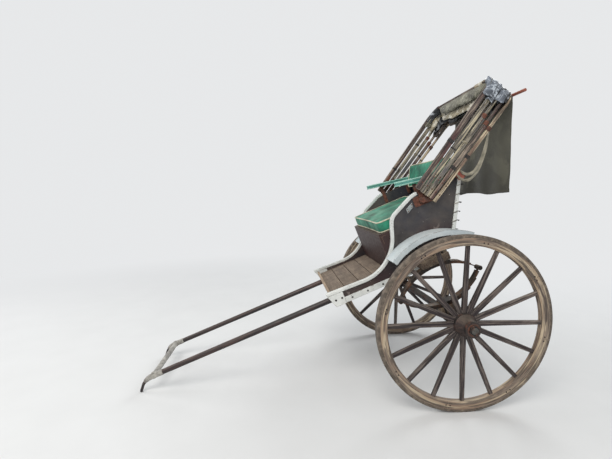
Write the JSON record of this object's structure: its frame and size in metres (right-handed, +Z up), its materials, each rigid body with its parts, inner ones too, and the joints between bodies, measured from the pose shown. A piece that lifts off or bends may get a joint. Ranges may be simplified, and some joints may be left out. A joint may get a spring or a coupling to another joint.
{
  "type": "hand-pulled rickshaw",
  "caption": "Two-wheeled wooden passenger cart pulled by hand, with elliptic springs, a padded seat and a folded hood, parked on its shaft tips.",
  "frame": {"origin": "on the floor, at the middle of the footprint of the parked cart", "axes": "+X forward to the shaft tips, +Y to the left, +Z up"},
  "size_m": [2.3863, 1.383, 1.9152],
  "materials": {
    "tyre": "worn solid rubber, dusty",
    "wheel_wood": "weathered grey-brown wood",
    "spoke_wood": "dark weathered wood",
    "hub_wood": "dark greasy wood",
    "frame_wood": "bare weathered wood",
    "shaft_wood": "dark wood polished by hands",
    "floor_wood": "scuffed wood",
    "white_wood": "old white paint on wood",
    "black_board": "black painted board",
    "riser_board": "dark maroon painted board",
    "bow_wood": "grey-brown weathered slats",
    "rod_wood": "red-brown painted stick",
    "black_iron": "black iron",
    "spring_steel": "dark spring steel with dust",
    "rusty_iron": "rusted iron",
    "green_vinyl": "green vinyl with pale piping",
    "cover_cloth": "torn black and silver-grey tarpaulin",
    "dark_cloth": "dark olive canvas"
  },
  "bodies": {
    "cart": {"arm_irons": "rusty_iron", "arm_pads": "green_vinyl", "axle": "black_iron", "axle_blocks": "frame_wood", "axle_nuts": "black_iron", "back_board": "black_board", "back_cushion": "green_vinyl", "bolster": "frame_wood", "bow_5": "bow_wood", "bow_5_irons": "rusty_iron", "cross_members": "frame_wood", "crossbar": "shaft_wood", "curtain_rod": "rod_wood", "floor_boards": "floor_wood", "front_blocks": "white_wood", "hood_brackets": "rusty_iron", "hood_rests": "bow_wood", "mudguard_stays": "black_iron", "mudguards": "white_wood", "rear_curtain": "dark_cloth", "rear_rails": "white_wood", "seat_board": "riser_board", "seat_box_ends": "riser_board", "seat_box_floor": "riser_board", "seat_cushion": "green_vinyl", "seat_riser": "riser_board", "shaft_left": "shaft_wood", "shaft_right": "shaft_wood", "side_panel_left": "black_board", "side_panel_right": "black_board", "side_rails": "white_wood", "spring_bolts": "black_iron", "spring_clips": "black_iron", "springs_lower": "spring_steel", "springs_upper": "spring_steel", "sweep_trims": "white_wood", "toe_board": "floor_wood"},
    "wheel_left": {"tyre_left": "tyre", "felloes_left": "wheel_wood", "spokes_left": "spoke_wood", "hub_left": "hub_wood", "hub_bands_left": "black_iron"},
    "wheel_right": {"tyre_right": "tyre", "felloes_right": "wheel_wood", "spokes_right": "spoke_wood", "hub_right": "hub_wood", "hub_bands_right": "black_iron"},
    "bow_1": {"bow_1": "bow_wood", "bow_1_irons": "rusty_iron", "cover_fold_1": "cover_cloth"},
    "bow_2": {"bow_2": "bow_wood", "bow_2_irons": "rusty_iron", "cover_fold_2": "cover_cloth"},
    "bow_3": {"bow_3": "bow_wood", "bow_3_irons": "rusty_iron", "cover_fold_3": "cover_cloth"},
    "bow_4": {"bow_4": "bow_wood", "bow_4_irons": "rusty_iron", "cover_fold_4": "cover_cloth"}
  },
  "joints": [
    {"name": "wheel_left_spin", "type": "hinge", "parent": "cart", "child": "wheel_left", "pos_m": [-0.69319, 0.5815, 0.5], "axis": [0, 1, 0], "continuous": true},
    {"name": "wheel_right_spin", "type": "hinge", "parent": "cart", "child": "wheel_right", "pos_m": [-0.69319, -0.5815, 0.5], "axis": [0, 1, 0], "continuous": true},
    {"name": "hood_bow_4", "type": "hinge", "parent": "cart", "child": "bow_4", "pos_m": [-0.51445, 0, 1.18343], "axis": [0, 1, 0], "range_deg": [0, 25]},
    {"name": "hood_bow_3", "type": "hinge", "parent": "bow_4", "child": "bow_3", "pos_m": [-0.51445, 0, 1.18343], "axis": [0, 1, 0], "range_deg": [0, 25]},
    {"name": "hood_bow_2", "type": "hinge", "parent": "bow_3", "child": "bow_2", "pos_m": [-0.51445, 0, 1.18343], "axis": [0, 1, 0], "range_deg": [0, 25]},
    {"name": "hood_bow_1", "type": "hinge", "parent": "bow_2", "child": "bow_1", "pos_m": [-0.51445, 0, 1.18343], "axis": [0, 1, 0], "range_deg": [0, 25]}
  ],
  "couplings": [
    {"joint": "hood_bow_3", "follows": "hood_bow_4", "ratio": 1},
    {"joint": "hood_bow_2", "follows": "hood_bow_4", "ratio": 1},
    {"joint": "hood_bow_1", "follows": "hood_bow_4", "ratio": 1}
  ]
}
